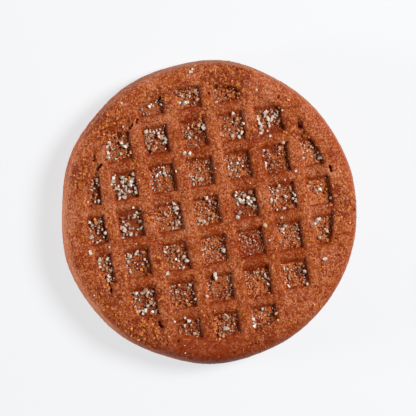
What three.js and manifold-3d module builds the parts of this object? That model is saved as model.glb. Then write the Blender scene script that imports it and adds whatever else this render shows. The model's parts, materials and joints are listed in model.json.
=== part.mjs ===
// A round chocolate cookie, flat underneath, with a waffle grid pressed into its top and coarse
// sugar baked into the pockets. Millimetres, +Z up, the origin under the middle of the flat base.
//
// The cookie is one solid: a turned blank with a slightly uneven outline, minus the pockets,
// troughs, cracks and pits of the pressed top, plus the largest sugar grains, fused to the floors.
import * as THREE from "three";
import { mergeVertices } from "three/addons/utils/BufferGeometryUtils.js";
import Module from "manifold-3d";

// Blank
const DIAMETER = 60.4; // over the widest part, along Y
const OVAL = 0.983; // width along X as a share of the diameter
const THICKNESS = 8.6; // base to the middle of the top
const DOME = 0.45; // how far the top falls from its middle to the shoulder
const BASE_INSET = 1.1; // the base is this much smaller than the widest part
const BELLY_HEIGHT = 1.7; // height of the widest part
const SIDE_HEIGHT = 5.2; // where the side ends and the shoulder starts
const SIDE_INSET = 0.55; // draft of the side between those two heights
const SHOULDER_WIDTH = 3.1; // how far the shoulder reaches in from the widest part
const LOBES = [
  // waves round the outline: how many, how high, and where the first one peaks, in degrees
  { count: 3, height: 0.1, peak: -16 },
  { count: 5, height: 0.09, peak: 2 },
  { count: 6, height: 0.08, peak: 28 },
  { count: 9, height: 0.07, peak: -2 },
  { count: 10, height: 0.08, peak: 16 },
];

// Pressed grid
const PITCH = 7.77; // from pocket to pocket along a row
const ROW_PITCH = 7.77; // from row to row
const GRID_TURN = 9.9; // degrees from the X axis to the rows of pockets
const GRID_SHIFT = [-0.9, 0.55]; // where the middle pocket lies
const POCKET_DEPTH = 1.85;
const DEPTH_SPREAD = 0.15; // a pocket is up to this much deeper or shallower
const FLOOR_WIDTH = 4.4;
const MOUTH_WIDTH = 5.9; // at the top of the bars
const CORNER_RADIUS = 0.7;
const TROUGH_DEPTH = 0.5; // the cross bars sag by this much between the long bars
const FIELD_RADIUS = 25.6; // the grid ends at this circle
const FIELD_SHIFT = [-0.35, 0.25];
const FIELD_DRAFT = 0.9; // how far the circle's wall leans out over a pocket's depth
const PLUG_CLEARANCE = 0.7; // how far the cutters stand above the top
const UNPRESSED = [
  // pockets at the field's edge that the press left no mark of, as column and row
  [2, -3],
  [3, -2],
  [2, 3],
];

// Cracks and pits in the crust: place as radius and angle, size along, across and down, and turn
const CRACKS = [
  { radius: 24.6, angle: 157, size: [3.2, 0.7, 1.3], turn: 45 },
  { radius: 24.4, angle: 217, size: [2.4, 0.8, 1.2], turn: 100 },
  { radius: 24.1, angle: 244, size: [2.0, 0.7, 1.1], turn: 110 },
  { radius: 25.3, angle: 21, size: [1.7, 0.7, 1.1], turn: 110 },
  { radius: 23.6, angle: 133, size: [1.4, 0.7, 1.1], turn: 55 },
  { radius: 26.6, angle: 142, size: [1.3, 0.8, 1.0], turn: 120 },
];

// Sugar
const GRAINS_ALONG_POCKET = 2; // rows and columns of large grains in a whole pocket
const GRAIN_SPACING = 2.1;
const GRAIN_JITTER = 0.45;
const GRAIN_SIZE = [0.75, 1.2]; // smallest and largest
const GRAIN_SHARE_SUNK = 0.3; // share of a grain's size that its middle stands above the floor
const GRAIN_CLEARANCE = 1.3; // grains keep this far inside the grid's circle

const ROUND_STEPS = 72; // sides of the turned blank
const SHOULDER_STEPS = 4;
const DOME_STEPS = 3;
const SMALLEST_EDGE = 0.02; // shorter edges left by the cuts are merged away
const SEED = 11;

const radians = THREE.MathUtils.degToRad;
const radius = DIAMETER / 2;
const shoulderHeight = THICKNESS - DOME;

const wasm = await Module();
wasm.setup();

// A repeatable row of numbers from 0 to 1.
function randomFrom(seed) {
  let state = seed;
  return () => {
    state = (state + 0x6d2b79f5) | 0;
    let t = Math.imul(state ^ (state >>> 15), 1 | state);
    t = (t + Math.imul(t ^ (t >>> 7), 61 | t)) ^ t;
    return ((t ^ (t >>> 14)) >>> 0) / 4294967296;
  };
}

function solidOf(geometry) {
  geometry.deleteAttribute("normal");
  geometry.deleteAttribute("uv");
  const merged = mergeVertices(geometry, 1e-4);
  return new wasm.Manifold(
    new wasm.Mesh({
      numProp: 3,
      vertProperties: new Float32Array(merged.attributes.position.array),
      triVerts: new Uint32Array(merged.index.array),
    }),
  );
}

function geometryOf(solid) {
  const mesh = solid.getMesh();
  const geometry = new THREE.BufferGeometry();
  geometry.setAttribute("position", new THREE.BufferAttribute(mesh.vertProperties, 3));
  geometry.setIndex(new THREE.BufferAttribute(mesh.triVerts, 1));
  geometry.computeVertexNormals();
  return geometry;
}

// How far the outline stands out of a true circle at an angle in radians.
function lobe(angle) {
  return LOBES.reduce(
    (sum, { count, height, peak }) => sum + height * Math.cos(count * (angle - radians(peak))),
    0,
  );
}

function topHeight(distance) {
  return THICKNESS - DOME * (distance / (radius - SHOULDER_WIDTH)) ** 2;
}

// The turned blank, from the middle of the base, up the side and over the shoulder to the top.
function blank() {
  const profile = [
    new THREE.Vector2(0, 0),
    new THREE.Vector2(radius - BASE_INSET, 0),
    new THREE.Vector2(radius - BASE_INSET * 0.3, BELLY_HEIGHT * 0.3),
    new THREE.Vector2(radius, BELLY_HEIGHT),
  ];
  const shoulder = new THREE.EllipseCurve(
    radius - SHOULDER_WIDTH,
    SIDE_HEIGHT,
    SHOULDER_WIDTH - SIDE_INSET,
    shoulderHeight - SIDE_HEIGHT,
    0,
    Math.PI / 2,
  );
  profile.push(...shoulder.getPoints(SHOULDER_STEPS));
  for (let step = DOME_STEPS - 1; step > 0; step--) {
    const distance = ((radius - SHOULDER_WIDTH) * step) / DOME_STEPS;
    profile.push(new THREE.Vector2(distance, topHeight(distance)));
  }
  profile.push(new THREE.Vector2(0, THICKNESS));

  const geometry = new THREE.LatheGeometry(profile, ROUND_STEPS);
  geometry.rotateX(Math.PI / 2); // turned about Y, stood up on Z
  const position = geometry.attributes.position;
  for (let i = 0; i < position.count; i++) {
    const x = position.getX(i);
    const y = position.getY(i);
    const distance = Math.hypot(x, y);
    const share = distance > 0 ? 1 + lobe(Math.atan2(y, x)) / radius : 1;
    position.setXY(i, x * share, y * share);
  }
  return solidOf(geometry);
}

// A square plug with soft corners that narrows towards its floor, which lies at z = 0.
function pocketPlug() {
  const half = FLOOR_WIDTH / 2;
  const inner = half - CORNER_RADIUS;
  const outline = new THREE.Shape();
  outline.absarc(inner, inner, CORNER_RADIUS, 0, Math.PI / 2);
  outline.absarc(-inner, inner, CORNER_RADIUS, Math.PI / 2, Math.PI);
  outline.absarc(-inner, -inner, CORNER_RADIUS, Math.PI, Math.PI * 1.5);
  outline.absarc(inner, -inner, CORNER_RADIUS, Math.PI * 1.5, Math.PI * 2);
  const height = POCKET_DEPTH + PLUG_CLEARANCE;
  const geometry = new THREE.ExtrudeGeometry(outline, {
    depth: height,
    steps: 2,
    curveSegments: 2,
    bevelEnabled: false,
  });
  // The wall leans more and more towards the mouth, which gives the bars their round backs.
  const position = geometry.attributes.position;
  const flare = MOUTH_WIDTH / FLOOR_WIDTH - 1;
  for (let i = 0; i < position.count; i++) {
    const share = 1 + flare * (position.getZ(i) / POCKET_DEPTH) ** 1.5;
    position.setXY(i, position.getX(i) * share, position.getY(i) * share);
  }
  return solidOf(geometry);
}

// A shallow round-bottomed groove along one column of pockets.
function trough() {
  const half = MOUTH_WIDTH / 2;
  const steps = 4;
  const section = new THREE.Shape();
  section.moveTo(-half, PLUG_CLEARANCE);
  for (let step = 0; step <= steps; step++) {
    const across = -1 + (2 * step) / steps;
    section.lineTo(half * across, -TROUGH_DEPTH * (1 - across ** 2));
  }
  section.lineTo(half, PLUG_CLEARANCE);
  const length = 2 * DIAMETER;
  const geometry = new THREE.ExtrudeGeometry(section, { depth: length, bevelEnabled: false });
  geometry.translate(0, 0, -length / 2);
  geometry.rotateX(Math.PI / 2); // along Y, with the groove downwards
  return solidOf(geometry);
}

// The round field that the grid is cut off by: a disc whose wall leans outwards.
function gridField() {
  const depth = POCKET_DEPTH + DEPTH_SPREAD + DOME + PLUG_CLEARANCE;
  const geometry = new THREE.CylinderGeometry(
    FIELD_RADIUS + FIELD_DRAFT / 2,
    FIELD_RADIUS - FIELD_DRAFT,
    2 * depth,
    ROUND_STEPS / 2,
  );
  geometry.rotateX(Math.PI / 2);
  geometry.translate(...FIELD_SHIFT, THICKNESS);
  return solidOf(geometry);
}

// The columns and rows of the grid whose pockets reach the field, with each pocket's place.
function pocketPlaces() {
  const turn = radians(GRID_TURN);
  const reach = Math.ceil(FIELD_RADIUS / PITCH);
  const places = [];
  for (let column = -reach; column <= reach; column++) {
    for (let row = -reach; row <= reach; row++) {
      const across = PITCH * column;
      const along = ROW_PITCH * row;
      const x = GRID_SHIFT[0] + across * Math.cos(turn) - along * Math.sin(turn);
      const y = GRID_SHIFT[1] + across * Math.sin(turn) + along * Math.cos(turn);
      const distance = Math.hypot(x - FIELD_SHIFT[0], y - FIELD_SHIFT[1]);
      const pressed = !UNPRESSED.some((pocket) => pocket[0] === column && pocket[1] === row);
      if (pressed && distance < FIELD_RADIUS + FLOOR_WIDTH / 2) {
        places.push({ x, y });
      }
    }
  }
  return places;
}

function pressedGrid(pockets) {
  const plug = pocketPlug();
  const plugs = pockets.map(({ x, y, floor }) =>
    plug.rotate([0, 0, GRID_TURN]).translate([x, y, floor]),
  );
  const groove = trough();
  const reach = Math.ceil(FIELD_RADIUS / PITCH);
  const turn = radians(GRID_TURN);
  for (let column = -reach; column <= reach; column++) {
    const x = GRID_SHIFT[0] + PITCH * column * Math.cos(turn);
    const y = GRID_SHIFT[1] + PITCH * column * Math.sin(turn);
    const height = topHeight(Math.abs(column) * PITCH);
    plugs.push(groove.rotate([0, 0, GRID_TURN]).translate([x, y, height]));
  }
  return wasm.Manifold.union(plugs).intersect(gridField());
}

// A crack is a long diamond, sunk into the crust to half its height.
function cracks() {
  return wasm.Manifold.union(
    CRACKS.map(({ radius: distance, angle, size, turn }) => {
      const geometry = new THREE.OctahedronGeometry(1);
      geometry.scale(size[0] / 2, size[1] / 2, size[2]);
      geometry.rotateZ(radians(turn));
      geometry.translate(
        distance * Math.cos(radians(angle)),
        distance * Math.sin(radians(angle)),
        topHeight(distance),
      );
      return solidOf(geometry);
    }),
  );
}

// The largest sugar grains: blocks at all angles, spread over each pocket's floor.
function sugarGrains(pockets, random) {
  const between = (low, high) => low + (high - low) * random();
  const turn = radians(GRID_TURN);
  const middle = (GRAINS_ALONG_POCKET - 1) / 2;
  const grains = [];
  for (const { x, y, floor } of pockets) {
    for (let place = 0; place < GRAINS_ALONG_POCKET ** 2; place++) {
      const column = (place % GRAINS_ALONG_POCKET) - middle;
      const row = Math.floor(place / GRAINS_ALONG_POCKET) - middle;
      const along = column * GRAIN_SPACING + between(-GRAIN_JITTER, GRAIN_JITTER);
      const across = row * GRAIN_SPACING + between(-GRAIN_JITTER, GRAIN_JITTER);
      const size = between(...GRAIN_SIZE);
      const turns = [between(0, 360), between(0, 360), between(0, 360)];
      const grainX = x + along * Math.cos(turn) - across * Math.sin(turn);
      const grainY = y + along * Math.sin(turn) + across * Math.cos(turn);
      const distance = Math.hypot(grainX - FIELD_SHIFT[0], grainY - FIELD_SHIFT[1]);
      if (distance > FIELD_RADIUS - GRAIN_CLEARANCE) {
        continue;
      }
      const grain = solidOf(new THREE.BoxGeometry(size, size * 0.85, size * 0.75));
      grains.push(
        grain.rotate(turns).translate([grainX, grainY, floor + size * GRAIN_SHARE_SUNK]),
      );
    }
  }
  return wasm.Manifold.union(grains);
}

function cookieGeometry() {
  const random = randomFrom(SEED);
  const pockets = pocketPlaces().map(({ x, y }) => {
    const depth = POCKET_DEPTH + DEPTH_SPREAD * (2 * random() - 1);
    return { x, y, floor: topHeight(Math.hypot(x, y)) - depth };
  });
  const solid = blank()
    .subtract(pressedGrid(pockets))
    .subtract(cracks())
    .add(sugarGrains(pockets, random))
    .simplify(SMALLEST_EDGE);
  const geometry = geometryOf(solid);
  geometry.scale(OVAL, 1, 1);
  geometry.computeBoundingBox();
  const middle = geometry.boundingBox.getCenter(new THREE.Vector3());
  geometry.translate(-middle.x, -middle.y, 0);
  return geometry;
}

const dough = new THREE.MeshStandardMaterial({ color: 0x9a5333, roughness: 0.9, metalness: 0 });

const cookie = new THREE.Mesh(cookieGeometry(), dough);
cookie.name = "cookie";

const part = new THREE.Group();
part.add(cookie);

export default part;
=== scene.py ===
"""A round chocolate cookie with a waffle grid pressed into its top and coarse sugar in its pockets.

The file is laid out as an add-on. Each operator makes one kind of piece from the sizes and colours
in its property group, and the panel in the 3D view's sidebar lists them. Run as a script, it makes
the whole cookie on a pale floor. Everything is in metres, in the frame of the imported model: the
cookie lies on z = 0 with its waffled side up.
"""

import json
import math
import random
from types import SimpleNamespace

import bmesh
import bpy
from bpy.props import FloatProperty, FloatVectorProperty, IntProperty, PointerProperty
from mathutils import Matrix, Vector

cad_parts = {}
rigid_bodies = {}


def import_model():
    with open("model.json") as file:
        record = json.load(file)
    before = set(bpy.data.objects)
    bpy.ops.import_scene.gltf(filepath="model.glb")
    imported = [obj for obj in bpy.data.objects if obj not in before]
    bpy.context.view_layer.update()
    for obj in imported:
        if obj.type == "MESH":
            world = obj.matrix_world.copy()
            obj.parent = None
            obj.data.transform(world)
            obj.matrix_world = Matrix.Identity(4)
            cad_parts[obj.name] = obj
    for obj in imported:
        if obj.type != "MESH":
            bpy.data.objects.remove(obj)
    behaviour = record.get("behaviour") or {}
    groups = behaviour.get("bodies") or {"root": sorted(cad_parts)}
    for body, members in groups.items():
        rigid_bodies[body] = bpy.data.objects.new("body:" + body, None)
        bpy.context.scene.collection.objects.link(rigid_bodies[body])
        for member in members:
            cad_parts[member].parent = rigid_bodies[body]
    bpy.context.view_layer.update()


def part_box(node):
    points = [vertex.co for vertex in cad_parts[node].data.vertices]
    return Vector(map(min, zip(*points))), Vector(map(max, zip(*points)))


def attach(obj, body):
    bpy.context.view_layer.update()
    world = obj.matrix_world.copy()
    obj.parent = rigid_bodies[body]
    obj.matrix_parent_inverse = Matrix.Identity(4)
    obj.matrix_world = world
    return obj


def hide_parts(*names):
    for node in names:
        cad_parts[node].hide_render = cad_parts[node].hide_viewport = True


bl_info = {
    "name": "Chocolate Cookie",
    "version": (1, 0, 0),
    "blender": (4, 5, 0),
    "location": "View3D > Sidebar > Cookie",
    "description": "Bakes a chocolate cookie with a waffle grid, sugar and crumbs",
    "category": "Add Mesh",
}

MM = 0.001
BODY = "root"
NODE = "cookie"

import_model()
CAD_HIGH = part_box(NODE)[1]
AIM_SHARE = 0.6  # share of the cookie's height that the camera looks at

# Waves round the outline: how many, how high in millimetres, and where the first one peaks, in
# degrees from +X.
LOBES = [
    (3, 0.10, -16),
    (5, 0.09, 2),
    (6, 0.08, 28),
    (9, 0.07, -2),
    (10, 0.08, 16),
]

# Slits and pits in the crust: both ends, the half width and the depth, in millimetres.
CRACKS = [
    ((-22.6, 9.0), (-21.9, 9.7), 0.24, 1.0),
    ((-23.1, 7.7), (-22.8, 8.8), 0.22, 0.8),
    ((-21.1, 10.6), (-20.8, 10.9), 0.15, 0.5),
    ((-23.5, 10.3), (-23.4, 11.5), 0.19, 0.6),
    ((-15.1, 18.0), (-14.8, 18.7), 0.19, 0.9),
    ((-16.3, 16.9), (-15.8, 17.6), 0.19, 0.9),
    ((-21.2, 16.7), (-20.8, 16.0), 0.20, 0.8),
    ((-24.9, 13.4), (-24.5, 13.6), 0.16, 0.5),
    ((-20.3, -13.7), (-20.2, -14.4), 0.19, 0.9),
    ((-20.1, -14.8), (-20.0, -15.4), 0.22, 0.9),
    ((-26.7, 5.2), (-26.6, 5.3), 0.30, 0.5),
    ((-10.6, -21.2), (-10.3, -22.0), 0.20, 0.65),
    ((-10.0, -22.9), (-9.9, -23.5), 0.17, 0.6),
    ((-7.0, -25.5), (-6.6, -25.1), 0.19, 0.7),
    ((23.5, 9.3), (23.8, 8.4), 0.20, 1.0),
    ((13.1, 23.2), (13.2, 22.9), 0.19, 0.6),
    ((17.8, 15.4), (18.1, 15.2), 0.19, 0.7),
    ((24.6, -5.1), (25.2, -5.3), 0.19, 0.6),
    ((8.4, -16.6), (8.6, -16.8), 0.19, 0.5),
    ((14.6, -20.0), (15.1, -20.2), 0.17, 0.5),
    ((3.9, -27.8), (4.4, -27.7), 0.22, 0.5),
]

# No crack reaches further than this from its first end, in millimetres.
LONGEST_CRACK = 4.0

# Smooth dents in the crust: both ends, the half width and the depth, in millimetres.
DENTS = [
    ((17.0, 18.9), (17.7, 17.8), 0.85, 0.6),
    ((-23.4, 13.4), (-23.3, 10.6), 0.6, 0.25),
]

# Spots where the press left hardly a mark: the middle and radius in millimetres, and how much of
# the mark is missing.
FAINT_SPOTS = [
    ((16.9, -18.2), 3.4, 1.0),
    ((-19.0, -16.0), 2.2, 0.9),
    ((23.8, -9.0), 3.0, 0.9),
    ((21.9, 17.7), 3.0, 0.6),
    ((8.6, 24.6), 2.6, 0.75),
]

# Pockets that hold more coarse sugar than others, or less: the middle and radius in millimetres,
# and how much more.
SUGARY_SPOTS = [
    ((11.7, 18.5), 3.4, 0.6),
    ((-11.2, 14.5), 3.4, 0.35),
    ((-17.5, 5.5), 3.4, 0.6),
    ((-16.2, -2.1), 3.4, 0.4),
    ((-13.5, -17.4), 3.4, 0.45),
    ((6.8, 1.9), 3.4, 0.3),
    ((8.1, -5.8), 3.4, -0.5),
    ((15.7, -4.4), 3.4, -0.2),
    ((0.4, -7.1), 3.4, -0.2),
]

# Paler and darker parts of the crust: the middle and radius in millimetres, and how much paler.
PALE_SPOTS = [
    ((-21.5, 3.3), 6.5, 0.35),
    ((-9.6, 21.1), 6.5, 0.4),
    ((8.3, 21.1), 5.5, 0.3),
    ((24.0, 4.5), 7.5, 0.35),
    ((-15.6, -2.7), 5.5, 0.3),
    ((8.3, -8.5), 7.5, -0.35),
    ((8.3, 9.2), 7.5, -0.3),
    # Painted shade: this spot darkens the crust towards the near edge.
    ((1.0, -27.0), 9.5, -0.25),
]

# Patches where dry crumbs have gathered: the middle and radius in millimetres, and how many.
CRUMB_PATCHES = [
    ((-21.0, 16.9), 4.5, 1.0),
    ((-26.0, 8.0), 3.6, 0.7),
    ((-9.5, 22.9), 4.0, 0.8),
    ((3.0, 26.9), 5.5, 1.0),
    ((-2.0, 19.9), 3.0, 0.8),
    ((-12.0, -0.3), 2.2, 0.9),
    ((-4.0, 11.4), 2.5, 0.7),
    ((-10.2, -9.3), 2.2, 1.0),
    ((-11.8, -16.6), 3.0, 1.0),
    ((-19.8, -15.6), 3.4, 0.9),
    ((-13.0, -22.9), 5.0, 1.0),
    ((25.5, 2.4), 4.0, 0.9),
    ((17.0, 15.9), 2.5, 0.7),
    ((8.0, 15.9), 2.5, 0.7),
    ((9.0, -15.1), 2.5, 0.9),
    ((10.0, -23.6), 3.0, 0.9),
    ((1.0, -22.1), 3.0, 0.8),
]

# Lone sugar grains outside the pockets, in millimetres, and how near them the scatter may put one.
LONE_GRAINS = [
    (-4.0, 28.3),
    (8.4, 24.3),
    (9.1, 24.4),
    (-26.0, -0.3),
    (-24.0, -7.7),
    (-23.2, -13.4),
    (-22.0, -13.1),
    (23.2, -12.9),
    (22.4, -8.9),
    (13.2, -21.5),
    (-5.8, 11.9),
    (-2.8, -8.5),
    (-1.4, 3.5),
    (4.6, -13.7),
    (10.7, -2.7),
    (15.6, 7.3),
]
LONE_GRAIN_REACH = 0.35


def quantity(name, description, default, **options):
    """A property that holds a number from 0 up."""
    return FloatProperty(name=name, description=description, default=default, min=0.0, **options)


def length(name, description, millimetres):
    """A property that holds a length, with its default given in millimetres."""
    kind = {"precision": 5, "subtype": "DISTANCE", "unit": "LENGTH"}
    return quantity(name, description, millimetres * MM, **kind)


def share(name, description, default, high=1.0):
    """A property that holds a share of something else."""
    return quantity(name, description, default, max=high)


def power(name, description, watts):
    """A property that holds a light's power."""
    return quantity(name, description, watts, unit="POWER")


def angle(name, description, degrees):
    """A property that holds an angle, with its default given in degrees."""
    turn = math.radians(degrees)
    kind = {"subtype": "ANGLE", "unit": "ROTATION"}
    return FloatProperty(name=name, description=description, default=turn, **kind)


def random_seed(description, default):
    """A property that holds the seed of a piece's random draws."""
    return IntProperty(name="Seed", description=description, default=default, min=0)


def place(name, description, x, y):
    """A property that holds a place on the cookie, with its default given in millimetres."""
    return FloatVectorProperty(
        name=name,
        description=description,
        default=(x * MM, y * MM, 0.0),
        size=3,
        precision=5,
        subtype="TRANSLATION",
        unit="LENGTH",
    )


def colour(name, description, red, green, blue):
    """A property that holds a linear colour."""
    return FloatVectorProperty(
        name=name,
        description=description,
        default=(red, green, blue, 1.0),
        size=4,
        min=0.0,
        max=1.0,
        subtype="COLOR",
    )


class BlankSizes(bpy.types.PropertyGroup):
    """Sizes of the cookie before its top is pressed."""

    diameter: length("Diameter", "Over the widest part, along Y", 60.4)
    oval: share("Oval", "Width along X as a share of the diameter", 0.983)
    thickness: length("Thickness", "From the base to the middle of the top", 8.6)
    dome: length("Dome", "How far the top falls from its middle to the shoulder", 0.45)
    base_inset: length("Base inset", "How much smaller the base's radius is", 1.1)
    belly_height: length("Belly height", "Height of the widest part", 1.7)
    side_height: length("Side height", "Where the side ends and the shoulder starts", 5.2)
    side_inset: length("Side inset", "Draft of the side between those two heights", 0.55)
    shoulder_width: length("Shoulder width", "How far the shoulder reaches in", 3.1)
    top_edge: length("Top mesh size", "Edge length of the mesh on the top", 0.21)
    side_edge: length("Side mesh size", "Edge length of the mesh on the side", 0.29)
    base_edge: length("Base mesh size", "Edge length of the mesh on the base", 0.62)


class PressSizes(bpy.types.PropertyGroup):
    """Sizes of the waffle grid."""

    pitch: length("Pitch", "From pocket to pocket along a row", 7.77)
    stretch: share("Stretch", "From row to row, as a share of the pitch", 1.0, 2.0)
    turn: angle("Turn", "From the X axis to the rows of pockets", 9.9)
    shift: place("Shift", "Where the middle pocket lies", -0.9, 0.55)
    depth: length("Depth", "From the top of the bars to the middle of a floor", 1.95)
    bowl: length("Bowl", "How much higher a floor's edge lies than its middle", 0.35)
    depth_spread: share("Depth spread", "Share by which a pocket is deeper or shallower", 0.12)
    floor_width: length("Floor width", "Width of a pocket's floor", 4.3)
    right_slope: length("Right slope", "How much wider a pocket's right wall is than its left", 0.35)
    top_slope: length("Top slope", "How much wider a pocket's top wall is than its bottom", 0.35)
    bar_width: length("Bar width", "Width of the bars' rounded backs", 2.2)
    bar_spread: share("Bar spread", "Share by which a bar's width varies", 0.2)
    crown: length("Crown", "How far a bar's back falls from its middle to its edge", 0.5)
    cross_drop: length("Cross drop", "How much lower the cross bars lie", 0.3)
    sag: length("Sag", "How far the cross bars sag between the long bars", 0.25)
    blend: length("Blend", "How softly bars and floors run into each other", 0.45)
    field_radius: length("Field radius", "Radius of the circle that the grid ends at", 25.6)
    field_shift: place("Field shift", "Middle of that circle", -0.35, 0.25)
    field_draft: length("Field draft", "Width over which the grid fades out", 1.1)


class CrustSizes(bpy.types.PropertyGroup):
    """Sizes of the uneven baked surface."""

    wander: length("Wander", "How far the bars stray from straight", 0.32)
    ragged: length("Ragged edge", "How far a pocket's edge is torn", 0.2)
    swell: length("Swell", "Height of the broad unevenness", 0.10)
    crag: length("Crag", "Height of the lumps about a millimetre wide", 0.12)
    grit: length("Grit", "Height of the finest roughness", 0.07)
    pore: length("Pore", "Depth of the small pores", 0.16)
    seed: random_seed("Changes the unevenness", 3)


class DoughColours(bpy.types.PropertyGroup):
    """Colours of the baked dough."""

    # Partly painted highlight: the light colour is pale to stand in for glints, and it falls on the
    # raised grains.
    light: colour("Light", "Dry raised grains", 0.585, 0.225, 0.118)
    middle: colour("Middle", "Most of the crust", 0.38, 0.077, 0.013)
    # Partly painted shade: the dark colour falls in the grain's hollows and in the gaps between
    # crumbs.
    dark: colour("Dark", "Damp hollows", 0.20, 0.018, 0.002)
    orange: colour("Orange", "Toasted specks", 0.74, 0.25, 0.04)
    bloom: colour("Bloom", "Cool bloom on the crust", 0.39, 0.112, 0.078)
    toast: colour("Toast", "Warm toasted parts of the crust", 0.46, 0.136, 0.012)
    floor: colour("Floor", "Pocket floors, glazed by melted sugar", 0.70, 0.21, 0.062)
    # Partly painted shade: this darker floor colour under coarse sugar stands in for shade between
    # the grains.
    damp_and_shade: colour("Damp", "Pocket floors under coarse sugar", 0.15, 0.015, 0.003)
    # Painted shade: the wall colour darkens the pockets' deeper walls and the near and right edges;
    # it also colours the bare pocket floors.
    wall: colour("Wall", "Walls of the pockets", 0.215, 0.019, 0.003)
    # Partly painted sheen: the pale side colour also stands in for the brighter look of the side at
    # grazing view.
    dust_and_sheen: colour("Dust", "The dry, pale side", 0.41, 0.180, 0.088)
    under: colour("Underside", "The baked underside", 0.27, 0.075, 0.03)
    # Painted shade: the near-black colour inside the cracks and pores.
    hole_shade: colour("Hole", "Inside the cracks and pores", 0.055, 0.005, 0.001)


class SugarSizes(bpy.types.PropertyGroup):
    """Sizes and colour of the sugar in the pockets."""

    smallest: length("Smallest", "Smallest of the large grains", 0.5)
    largest: length("Largest", "Largest of the large grains", 1.1)
    spacing: length("Spacing", "Least distance between large grains", 0.46)
    density: quantity("Density", "Most large grains on a square millimetre", 4.6)
    fine_smallest: length("Fine smallest", "Smallest of the fine grains", 0.22)
    fine_largest: length("Fine largest", "Largest of the fine grains", 0.44)
    fine_spacing: length("Fine spacing", "Least distance between fine grains", 0.26)
    fine_density: quantity("Fine density", "Most fine grains on a square millimetre", 5.0)
    sunk: share("Sunk", "Share of a grain's size that its middle stands above the floor", 0.25)
    clear: colour("Clear", "The cleanest grains", 0.86, 0.755, 0.64)
    tinted: colour("Tinted", "Grains stained by the dough", 0.58, 0.23, 0.085)
    seed: random_seed("Changes where the grains lie", 7)


class CrumbSizes(bpy.types.PropertyGroup):
    """Sizes and colours of the dry crumbs on the crust."""

    smallest: length("Smallest", "Smallest crumb", 0.28)
    largest: length("Largest", "Largest crumb", 0.8)
    spacing: length("Spacing", "Least distance between crumbs", 0.26)
    density: quantity("Density", "Most crumbs on a square millimetre of a patch", 8.5)
    thin: share("Thin", "Share of that density outside the patches", 0.05)
    big: length("Big", "Largest of the few big crumbs in the pockets", 1.0)
    big_density: quantity("Big density", "Big crumbs on a square millimetre of pocket", 0.4)
    sunk: share("Sunk", "Share of a crumb's size that its middle stands above the crust", 0.06)
    pale: colour("Pale", "The driest crumbs", 0.86, 0.32, 0.075)
    toasted: colour("Toasted", "The darkest crumbs", 0.42, 0.080, 0.012)
    seed: random_seed("Changes where the crumbs lie", 5)


class StageSettings(bpy.types.PropertyGroup):
    """Floor, lights and camera."""

    floor_size: length("Floor size", "Width of the floor", 4000)
    floor_gap: length("Floor gap", "Between the cookie's base and the floor", 0.02)
    floor_colour: colour("Floor colour", "Colour of the floor", 0.21, 0.214, 0.22)
    glow_colour: colour("Glow colour", "Colour of the floor's own light", 0.96, 0.972, 0.99)
    glow: share("Glow", "Strength of that light", 0.70, 10.0)
    air_low: colour("Low air", "Light from the pale walls all round", 0.44, 0.415, 0.39)
    air_high: colour("High air", "Light from overhead", 0.13, 0.12, 0.11)
    air_near: share("Near air", "Share of the air's light that comes from the near side", 0.1)
    air_far: share("Far air", "Share of the air's light that comes from the far side", 0.85)
    key_power: power("Key power", "Power of the main light", 6.35)
    key_size: length("Key size", "Width of the main light", 260)
    light_distance: length("Light distance", "From the cookie to the lights", 700)
    key_azimuth: angle("Key azimuth", "From the X axis to the main light", 21)
    key_height: angle("Key height", "From the floor up to the main light", 47)
    fill_power: power("Fill power", "Power of the side light", 5.7)
    fill_size: length("Fill size", "Width of the side light", 240)
    fill_azimuth: angle("Fill azimuth", "From the X axis to the side light", 184)
    fill_height: angle("Fill height", "From the floor up to the side light", 6)
    view_width: length("View width", "Width of the camera's view at the cookie", 82.65)
    view_distance: length("View distance", "From the camera to the cookie", 700)
    lean_left: angle("Lean left", "How far the camera leans to the left of straight down", 6.0)
    lean_up: angle("Lean up", "How far the camera leans towards the top", 2.0)
    aim: place("Aim", "What the middle of the view points at", -0.7, 0.95)


GROUPS = {
    "cookie_blank": BlankSizes,
    "cookie_press": PressSizes,
    "cookie_crust": CrustSizes,
    "cookie_dough": DoughColours,
    "cookie_sugar": SugarSizes,
    "cookie_crumbs": CrumbSizes,
    "cookie_stage": StageSettings,
}


# ------------------------------------------------------------------ node trees


class Field:
    """A node's output that can stand in a formula."""

    def __init__(self, writer, socket):
        self.writer = writer
        self.socket = socket

    def __add__(self, other):
        return self.writer.math("ADD", self, other)

    def __sub__(self, other):
        return self.writer.math("SUBTRACT", self, other)

    def __rsub__(self, other):
        return self.writer.math("SUBTRACT", other, self)

    def __mul__(self, other):
        return self.writer.math("MULTIPLY", self, other)

    def __truediv__(self, other):
        return self.writer.math("DIVIDE", self, other)

    def __pow__(self, other):
        return self.writer.math("POWER", self, other)

    __radd__ = __add__
    __rmul__ = __mul__


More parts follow.
